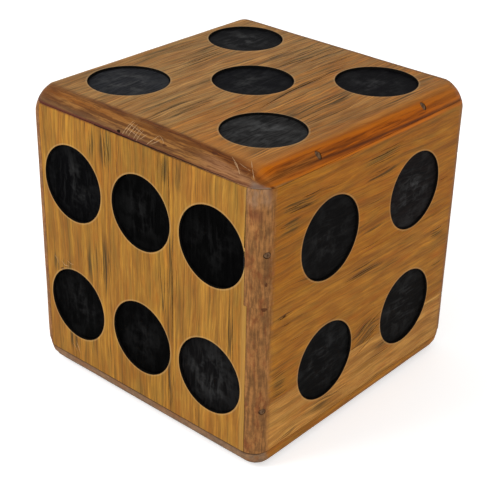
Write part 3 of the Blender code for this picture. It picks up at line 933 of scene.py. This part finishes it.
def over_edge(g, out, z):
    """Distance in centimetres from a side's flat up and over its rounded top edge."""
    up = g.math("MAXIMUM", g.sub(z, 38.0), 0.0)
    side = g.math("MAXIMUM", out, 0.0)
    s = g.mul(g.math("ARCTAN2", up, side), 2.4)
    s = g.add(s, g.math("MINIMUM", g.sub(z, 38.0), 0.0))
    return g.sub(s, g.math("MINIMUM", out, 0.0))


def bow(g, t, a, b, c):
    return g.add(g.mul(g.add(g.mul(t, a), b), t), c)


def orange_band(g, world, colour, n):
    """The red-orange heartwood along the top right edge, with a dark line bowing through it."""
    x, y, z = world
    s = over_edge(g, g.sub(x, 17.6), z)
    s = g.add(s, g.mul(g.sub(n["mottle"], 0.5), 0.35))
    low = bow(g, y, 0.00069, -0.0237, 0.0)
    line = bow(g, y, 0.00096, -0.0350, 0.76)
    top = bow(g, y, 0.00052, -0.0325, 2.45)
    corner = g.step(y, -20.2, -18.2)
    glow = g.mul(g.step(g.sub(s, top), 0.2, 2.6, 0.45, 0.0), g.step(g.sub(s, low), 0.5, 1.0))
    colour = g.mix(g.mul(glow, corner), colour, (0.44, 0.135, 0.012))
    where = g.mul(g.mul(g.step(g.sub(s, low), -0.18, 0.10), g.step(g.sub(s, top), -0.1, 0.7, 1.0, 0.0)), g.mul(corner, g.step(y, 9.0, 17.5, 1.0, 0.62)))
    lane = g.noise(g.xyz(g.mul(y, 0.07), g.mul(s, 1.7), 3.1), 1.0, 4.0, 0.6)
    fine = g.noise(g.xyz(g.mul(y, 0.22), g.mul(s, 6.0), 1.7), 1.0, 3.0, 0.6)
    band = g.mix(g.step(lane, 0.40, 0.60), (0.47, 0.105, 0.001), (0.27, 0.058, 0.001))
    band = g.mix(g.step(fine, 0.50, 0.64, 0.0, 0.7), band, (0.125, 0.024, 0.001))
    # bright where it starts below and where it fades out above
    rim = g.most([g.bump_at(g.sub(s, low), 0.14, 0.30), g.mul(g.bump_at(g.sub(s, top), -0.1, 0.5), 0.8)])
    band = g.mix(g.mul(rim, 0.75), band, (0.56, 0.155, 0.005))
    # duller brown between the two near the front corner
    dull = g.mul(g.step(y, -12.5, -7.5, 1.0, 0.15), g.bump_at(s, 1.6, 1.25))
    band = g.mix(g.mul(dull, 0.85), band, g.mix(g.step(fine, 0.42, 0.58), (0.29, 0.100, 0.016), (0.120, 0.038, 0.006)))
    colour = g.mix(g.mul(where, 0.97), colour, band)
    broken = g.step(g.noise(g.xyz(g.mul(y, 0.13), 2.0, 0.0), 1.0, 2.0), 0.30, 0.50, 0.7, 1.0)
    reach = g.step(y, -14.5, -10.5)
    core = g.mul(g.mul(g.bump_at(g.sub(s, line), 0.0, 0.34), broken), reach)
    colour = g.mix(g.mul(core, g.step(y, 6.0, 15.0, 0.86, 0.5)), colour, (0.075, 0.019, 0.004))
    second = g.mul(g.mul(g.bump_at(g.sub(s, line), 0.52, 0.2), reach), g.step(lane, 0.42, 0.52))
    return g.mix(g.mul(second, 0.7), colour, (0.12, 0.028, 0.004))


def front_edge(g, world, colour, n):
    """The rounded edge above the six: streaks rubbed along it, and a darker line where it meets the top."""
    x, y, z = world
    s = over_edge(g, g.sub(g.mul(y, -1.0), 18.27), z)
    s = g.add(s, g.mul(g.sub(n["blotch"], 0.5), 0.5))
    smear = g.noise(g.xyz(g.mul(x, 0.14), g.mul(s, 1.7), 2.0), 1.0, 4.0, 0.6)
    fine = g.noise(g.xyz(g.mul(x, 0.4), g.mul(s, 6.0), 5.0), 1.0, 3.0, 0.6)
    streaks = g.mix(g.step(smear, 0.40, 0.58), (0.335, 0.150, 0.038), (0.115, 0.040, 0.010))
    warm = g.mul(g.bump_at(s, 2.6, 0.9), g.step(x, -16.0, 6.0, 0.65, 0.2))
    streaks = g.mix(warm, streaks, (0.34, 0.115, 0.018))
    streaks = g.mix(g.step(fine, 0.46, 0.64, 0.0, 0.65), streaks, (0.070, 0.026, 0.010))
    streaks = g.mix(g.step(x, -17.0, -13.0, 0.55, 0.0), streaks, (0.105, 0.030, 0.009))
    low = g.mul(g.step(s, 0.9, 1.7, 1.0, 0.0), g.step(x, -2.0, 6.0, 1.0, 0.25))
    streaks = g.mix(g.mul(low, 0.6), streaks, (0.105, 0.060, 0.032))
    red = g.mul(g.step(x, 10.5, 16.0), g.step(s, 1.2, 2.4))
    streaks = g.mix(g.mul(red, 0.5), streaks, (0.21, 0.052, 0.012))
    past = [g.math("MAXIMUM", g.sub(x, start), 0.0) for start in (2.0, 11.0)]
    centre = g.sub(3.72, g.add(g.mul(past[0], 0.055), g.mul(past[1], 0.09)))
    below = g.step(g.sub(s, centre), -1.1, -0.4, 1.0, 0.0)
    scraped = g.mul(g.mul(g.step(x, 8.0, 13.5), below), 0.75)
    streaks = g.mix(scraped, streaks, g.mix(g.step(fine, 0.42, 0.62), (0.36, 0.170, 0.075), (0.20, 0.080, 0.032)))
    bruise = g.mul(g.mul(g.step(x, 14.5, 16.8), g.bump_at(g.sub(s, centre), -0.3, 0.95)), g.step(n["speckle"], 0.36, 0.5))
    streaks = g.mix(g.mul(bruise, 0.9), streaks, (0.062, 0.011, 0.005))
    grey = g.mul(g.step(x, 17.4, 18.3), g.step(s, 0.9, 1.5, 1.0, 0.0))
    streaks = g.mix(g.mul(grey, 0.75), streaks, (0.25, 0.205, 0.165))
    colour = g.mix(g.step(s, 2.9, 3.8, 0.88, 0.0), colour, streaks)
    line = g.bump_at(g.sub(s, centre), -0.1, 0.80)
    broken = g.step(g.noise(g.xyz(g.mul(x, 0.20), g.mul(s, 0.8), 4.0), 1.0, 3.0), 0.30, 0.50, 0.6, 1.0)
    broken = g.mul(broken, g.step(x, -13.0, -5.0, 0.5, 1.0))
    colour = g.mix(g.mul(line, broken), colour, g.mix(g.step(fine, 0.4, 0.6), (0.165, 0.050, 0.010), (0.085, 0.025, 0.007)))
    tan = g.mul(g.bump_at(g.sub(s, centre), 1.5, 1.5), g.step(x, 2.0, 10.0))
    return g.mix(g.mul(tan, 0.5), colour, (0.44, 0.165, 0.030))


def red_seam(g, world, colour, n):
    """A dark red line where the top panel meets the six side, strongest at the left."""
    x, y, z = world
    line = g.bump_at(g.add(z, g.mul(g.sub(n["mottle"], 0.5), 0.12)), 38.6, 0.36)
    face = g.step(y, -19.6, -19.2, 1.0, 0.0)
    left = g.step(x, -3.0, 6.0, 1.0, 0.45)
    return g.mix(g.mul(g.mul(g.mul(line, face), left), 0.92), colour, (0.090, 0.018, 0.014))


def foot_shadow(g, world, colour, n):
    """Painted shade along the lowest edge, darker towards the floor, and a dark joint line on the six side."""
    z = world[2]
    # painted shade on the foot, where it turns down towards the floor
    low = g.step(g.add(z, g.mul(g.sub(n["mottle"], 0.5), 0.3)), 0.4, 1.5, 0.7, 0.0)
    colour = g.mix(low, colour, (0.070, 0.040, 0.024))
    return g.mix(g.mul(g.bump_at(z, 2.25, 0.16), g.step(world[1], -19.6, -19.2, 0.7, 0.0)), colour, (0.065, 0.030, 0.015))


def bruised_top(g, world, colour, n):
    """The bleached, bruised end grain at the top of the front right corner."""
    x, y, z = world
    front = g.step(y, -19.6, -18.6, 1.0, 0.0)
    high = g.step(g.add(z, g.mul(g.sub(n["speckle"], 0.5), 2.0)), 35.8, 37.2)
    colour = g.mix(g.mul(g.mul(g.mul(front, high), g.step(n["blotch"], 0.38, 0.56, 0.3, 0.9)), 0.6), colour, (0.37, 0.225, 0.135))
    low = g.mul(g.mul(g.bump_at(z, 35.2, 1.5), g.bump_at(x, 18.8, 1.0)), front)
    return g.mix(g.mul(low, 0.6), colour, (0.155, 0.045, 0.022))


def pale_side(g, world, colour, n):
    """A lighter strip of sapwood beside the joint with the four side's end grain."""
    x = world[0]
    strip = g.step(g.add(x, g.mul(g.sub(n["mottle"], 0.5), 0.3)), 16.9, 17.4)
    return g.mix(g.mul(strip, 0.4), colour, (0.52, 0.30, 0.075))


# The top's tones are greyer and less saturated than the sides': partly the top boards' own colour, partly painted
# reflection of the pale sky off the top, as the wood's specular is kept low.
TOP = dict(
    light=(0.435, 0.218, 0.064), light2=(0.330, 0.144, 0.034), deep=(0.20, 0.090, 0.025),
    olive=(0.225, 0.158, 0.060), ember=(0.40, 0.138, 0.025), veil_colour=(0.165, 0.128, 0.056),
    stain_colour=(0.046, 0.035, 0.017), halo=(0.46, 0.31, 0.15),
    end=(0.27, 0.105, 0.024), end2=(0.19, 0.082, 0.026), end3=(0.14, 0.040, 0.010),
    end_dark=(0.060, 0.020, 0.007), stain=0.5, veil=0.35, ember_amount=0.45, end_rings=0.15, lines=0.34, contrast=1.4,
    split=(0.030, 0.012, 0.006),
)
FRONT = dict(
    light=(0.430, 0.202, 0.026), light2=(0.315, 0.125, 0.017), deep=(0.205, 0.085, 0.014),
    olive=(0.25, 0.150, 0.026), ember=(0.385, 0.120, 0.011), veil_colour=(0.19, 0.130, 0.032),
    stain_colour=(0.045, 0.032, 0.013), halo=(0.58, 0.37, 0.15),
    end=(0.25, 0.11, 0.036), end2=(0.2, 0.11, 0.055), end3=(0.16, 0.055, 0.022),
    end_dark=(0.08, 0.035, 0.014), stain=0.22, split=(0.030, 0.012, 0.006), lines=0.26, streaks=0.26, line_pitch=1.35, ember_amount=0.40, figure=0.28, contrast=0.92,
)
RIGHT = dict(
    light=(0.450, 0.184, 0.019), light2=(0.325, 0.112, 0.010), deep=(0.21, 0.075, 0.010),
    olive=(0.25, 0.130, 0.019), ember=(0.40, 0.106, 0.008), veil_colour=(0.17, 0.102, 0.022),
    stain_colour=(0.042, 0.027, 0.010), halo=(0.52, 0.31, 0.12),
    end=(0.345, 0.152, 0.047), end2=(0.190, 0.086, 0.030), end3=(0.205, 0.063, 0.020),
    end_dark=(0.085, 0.032, 0.012), stain=0.10, rings=0.2, end_rings=0.2, figure=0.6, lines=0.12, streaks=0.30, line_pitch=1.5, contrast=0.90,
)

LOOKS = {
    "top_board_1": dict(TOP, seed=1.3, pith=(-16.0, 70.0, 0.01, 0.02), ring=0.5, extras=(front_edge, red_seam),
        marks=((2.0, -10.8, 8.0, 1.6, 0.85), (-2.0, -16.2, 14.0, 1.4, 0.6), (14.0, -7.2, 6.0, 1.2, 0.5))),
    "top_board_2": dict(TOP, seed=4.1, pith=(-4.0, 74.0, 0.0, -0.02), ring=0.42, extras=(front_edge, red_seam),
        marks=((13.0, -3.6, 9.0, 1.6, 0.9), (14.0, -1.0, 10.0, 1.6, 1.0), (15.0, 1.0, 8.0, 1.2, 0.8),
               (-12.5, -2.6, 7.0, 2.6, 0.85), (-12.0, 0.6, 7.0, 1.4, 0.7), (-13.0, -6.5, 6.0, 1.6, 0.5))),
    "top_board_3": dict(TOP, seed=7.7, pith=(15.0, 72.0, 0.01, 0.03), ring=0.46, extras=(front_edge, red_seam, orange_band),
        light=(0.445, 0.190, 0.040), light2=(0.35, 0.130, 0.021), ember=(0.44, 0.130, 0.018),
        marks=((3.4, 11.6, 4.0, 1.4, 0.8), (-4.0, 12.0, 8.0, 5.0, 0.45), (12.0, 5.0, 8.0, 0.8, 0.6),
               (3.0, 5.6, 7.0, 0.6, 0.7))),
    "front_board_1": dict(FRONT, seed=2.2, pith=(-14.0, -34.0, 0.01, 0.01), ring=0.5, extras=(red_seam,),
        marks=((35.5, -8.3, 4.2, 0.8, 0.95), (18.0, -9.4, 6.0, 1.2, 0.4), (8.0, -9.0, 6.0, 1.4, 0.4),
               (16.2, -14.6, 1.6, 4.0, 0.75), (5.0, -12.8, 1.8, 1.6, 0.6))),
    "front_board_2": dict(FRONT, seed=5.9, pith=(0.0, -32.5, 0.01, 0.01), ring=0.45, extras=(red_seam,),
        marks=((35.8, -5.6, 3.8, 1.7, 1.0), (35.4, -3.0, 3.0, 0.9, 0.6), (36.4, 4.6, 2.8, 1.2, 0.8),
               (19.0, -6.2, 6.5, 1.5, 0.75), (20.0, 4.2, 5.5, 1.3, 0.85), (23.0, 5.6, 12.0, 0.8, 1.0), (13.0, 5.4, 9.0, 0.9, 0.9),
               (7.0, 5.3, 5.0, 0.8, 0.85), (7.0, -6.0, 5.0, 1.0, 0.4))),
    "front_board_3": dict(FRONT, light=(0.450, 0.213, 0.031), light2=(0.335, 0.135, 0.021), seed=8.4, pith=(11.0, -26.0, 0.0, 0.06), ring=0.55, extras=(red_seam, pale_side),
        marks=((36.0, 6.6, 3.0, 0.8, 0.75), (19.0, 15.2, 8.0, 0.8, 0.45), (35.5, 9.0, 2.5, 0.8, 0.4))),
    "right_board_1": dict(RIGHT, light=(0.57, 0.278, 0.062), light2=(0.45, 0.188, 0.036), seed=3.1, pith=(4.0, 38.0, 0.01, 0.02), ring=0.45,
        marks=((-8.0, 4.0, 5.0, 1.5, 0.5), (6.0, 7.0, 5.0, 1.5, 0.5), (-15.0, 3.0, 4.0, 1.0, 0.5))),
    "right_board_2": dict(RIGHT, seed=6.6, pith=(17.0, 32.0, 0.0, 0.10), ring=0.5,
        slants=((0.6, 10.6, 6.0, 4.0, -0.5),),
        marks=((0.8, 10.8, 4.6, 3.0, 1.0), (0.5, 20.5, 6.0, 0.8, 0.85), (4.0, 19.0, 5.0, 1.0, 0.5),
               (-16.2, 20.6, 2.4, 0.8, 0.9), (-12.0, 19.2, 4.0, 0.8, 0.5), (16.0, 20.0, 2.5, 0.8, 0.8),
               (-16.8, 12.0, 2.0, 4.0, 0.5))),
    "right_board_3": dict(RIGHT, light=(0.425, 0.160, 0.011), light2=(0.31, 0.098, 0.006), seed=9.2, pith=(31.0, 36.0, 0.0, -0.03), ring=0.45, extras=(bruised_top, orange_band),
        marks=((-14.0, 34.8, 4.5, 1.2, 0.95), (-15.6, 32.6, 3.0, 1.6, 0.7), (1.5, 35.8, 5.5, 1.5, 0.95),
               (2.0, 33.4, 5.0, 1.0, 0.7), (-13.0, 24.0, 3.0, 0.8, 0.6), (0.8, 26.0, 4.0, 1.4, 0.4))),
}
for i in (1, 2, 3):
    LOOKS[f"left_board_{i}"] = dict(
        RIGHT, seed=10.3 + i * 2.7, pith=(i * 12.0 - 4, -36.0, 0.01, 0.03 * (i - 2)), ring=0.42 + 0.03 * i,
        marks=((6.0 * i - 14, 12.0 * i - 3, 6.0, 2.0, 0.9), (10.0 - 7.0 * i, 13.0 * i - 8, 5.0, 1.4, 0.7)))
    LOOKS[f"back_board_{i}"] = dict(
        FRONT, seed=20.9 + i * 3.3, pith=(i * 12.0 - 24, 34.0, 0.01, 0.02 * (i - 2)), ring=0.54 - 0.03 * i, stain=0.45,
        marks=((9.0 * i, 11.0 * i - 21, 8.0, 1.6, 0.9), (38.0 - 7.0 * i, 12.0 * i - 27, 6.0, 1.2, 0.8)))
    LOOKS[f"bottom_board_{i}"] = dict(
        RIGHT, seed=30.2 + i * 1.9, pith=(i * 13.0 - 26, -60.0, 0.01, 0.02), ring=0.48, extras=(foot_shadow,),
        end=(0.27, 0.150, 0.075), end2=(0.20, 0.120, 0.070), end3=(0.24, 0.105, 0.040), figure=0.3,
        marks=((5.0 * i - 12, 12.0 * i - 22, 9.0, 1.8, 0.8),))

# How dusty, rubbed and shiny each black disc is: dust with painted sheen, how faded its stain is with painted sky
# reflection on the top discs, sheen
DISC_DUST_AND_SHEEN = {
    "pip_top_1": (0.60, (1.6, 1.6, 1.8), 0.02),
    "pip_top_2": (0.90, (6.2, 6.5, 7.2), 0.02),
    "pip_top_3": (0.35, (0.9, 0.8, 1.1), 0.02),
    "pip_top_4": (1.10, (6.6, 6.4, 6.0), 0.02),
    "pip_top_5": (0.40, (1.0, 1.0, 1.4), 0.02),
    "pip_front_1": (0.26, (0.5, 0.5, 0.6), 0.008),
    "pip_front_2": (0.12, (0.3, 0.3, 0.3), 0.008),
    "pip_front_3": (0.10, (0.3, 0.3, 0.3), 0.008),
    "pip_front_4": (0.18, (0.4, 0.4, 0.4), 0.008),
    "pip_front_5": (0.11, (0.3, 0.3, 0.3), 0.008),
    "pip_front_6": (0.44, (1.0, 0.9, 0.9), 0.02),
    "pip_right_1": (0.30, (1.0, 0.9, 0.8), 0.02),
    "pip_right_2": (0.60, (2.4, 1.8, 1.6), 0.02),
    "pip_right_3": (0.40, (1.0, 1.0, 0.9), 0.02),
    "pip_right_4": (0.45, (1.2, 1.0, 0.8), 0.02),
}

# ---------------------------------------------------------------- the die

for node in sorted(NODES):
    kind, _, rest = node.partition("_")
    if kind == "pip":
        face = rest.rsplit("_", 1)[0]
        ig, ia, _ = AXES[face]
        lo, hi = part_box(node)
        centre = ((lo[ig] + hi[ig]) / 2 * CM, (lo[ia] + hi[ia]) / 2 * CM)
        seed = (sum(map(ord, node)) * 0.37) % 17
        build_disc(node, black_wood("black_" + rest, face, centre, seed, *DISC_DUST_AND_SHEEN.get(node, (0.35,))))
    elif kind != "peg":
        build_board(node, aged_wood(node + "_grain", node, kind, LOOKS[node]), "wood_" + kind)
peg_mat = peg_material()
for node in sorted(NODES):
    if node.startswith("peg_"):
        build_peg(node, peg_mat)

# ---------------------------------------------------------------- stage, light, camera


def seen_or_lit(g, lit, seen):
    """One shader for what the camera sees, another for the light it gives."""
    path = g.node("ShaderNodeLightPath")
    blend = g.node("ShaderNodeMixShader")
    g.put(path.outputs["Is Camera Ray"], blend.inputs[0])
    g.tree.links.new(lit, blend.inputs[1])
    g.tree.links.new(seen, blend.inputs[2])
    return blend.outputs[0]


def stage_floor():
    mesh = bpy.data.meshes.new("studio_floor")
    bm = bmesh.new()
    bmesh.ops.create_grid(bm, x_segments=8, y_segments=8, size=14.0)
    bm.to_mesh(mesh)
    bm.free()
    floor = bpy.data.objects.new("studio_floor", mesh)
    floor.location = (0, 0, -0.0004)
    bpy.context.scene.collection.objects.link(floor)
    g = Graph("floor_paper")
    geo = g.node("ShaderNodeNewGeometry")
    tone = g.noise(geo.outputs["Position"], 3.0, 2.0)
    g.put(g.mix(tone, (0.86, 0.86, 0.86), (0.88, 0.88, 0.88)), g.shader.inputs["Base Color"])
    g.shader.inputs["Roughness"].default_value = 0.95
    g.shader.inputs["Specular IOR Level"].default_value = 0.0
    shown = []
    for strength in (0.22, 0.52):
        glow = g.node("ShaderNodeEmission")
        glow.inputs["Strength"].default_value = strength
        both = g.node("ShaderNodeAddShader")
        g.tree.links.new(g.shader.outputs[0], both.inputs[0])
        g.tree.links.new(glow.outputs[0], both.inputs[1])
        shown.append(both.outputs[0])
    out = g.tree.nodes["Material Output"]
    g.tree.links.new(seen_or_lit(g, *shown), out.inputs["Surface"])
    mesh.materials.append(g.mat)


def area(name, place_at, look_at, size, power, colour=(1, 1, 1)):
    data = bpy.data.lights.new(name, "AREA")
    data.shape = "RECTANGLE"
    data.size, data.size_y = size
    data.energy = power
    data.color = colour
    obj = bpy.data.objects.new(name, data)
    obj.location = place_at
    obj.rotation_mode = "QUATERNION"
    obj.rotation_quaternion = (Vector(look_at) - Vector(place_at)).to_track_quat("-Z", "Y")
    bpy.context.scene.collection.objects.link(obj)
    return obj


stage_floor()
world = bpy.data.worlds.new("studio")
bpy.context.scene.world = world
world.use_nodes = True
tree = world.node_tree
background = tree.nodes["Background"]
background.inputs[0].default_value = (1.0, 1.0, 1.0, 1.0)
background.inputs[1].default_value = 0.62
white = tree.nodes.new("ShaderNodeBackground")
white.inputs[0].default_value = (1.0, 1.0, 1.0, 1.0)
path = tree.nodes.new("ShaderNodeLightPath")
blend = tree.nodes.new("ShaderNodeMixShader")
tree.links.new(path.outputs["Is Camera Ray"], blend.inputs[0])
tree.links.new(background.outputs[0], blend.inputs[1])
tree.links.new(white.outputs[0], blend.inputs[2])
tree.links.new(blend.outputs[0], tree.nodes["World Output"].inputs["Surface"])
area("key", (-1.6, -2.6, 2.4), (0, 0, 0.2), (1.8, 1.8), 62)
area("fill", (2.8, -0.9, 1.5), (0, 0, 0.2), (1.6, 1.6), 14)

scene = bpy.context.scene
scene.view_settings.view_transform = "Standard"
scene.view_settings.look = "None"

camera = bpy.data.cameras.new("camera")
camera.lens = 89.957
camera.sensor_width = 36.0
camera.clip_start, camera.clip_end = 0.05, 60.0
cam = bpy.data.objects.new("camera", camera)
cam.rotation_mode = "XYZ"
cam.location = (0.99120, -1.14185, 0.98064)
cam.rotation_euler = (1.07292603, -0.0223177, 0.72535452)
scene.collection.objects.link(cam)
scene.camera = cam
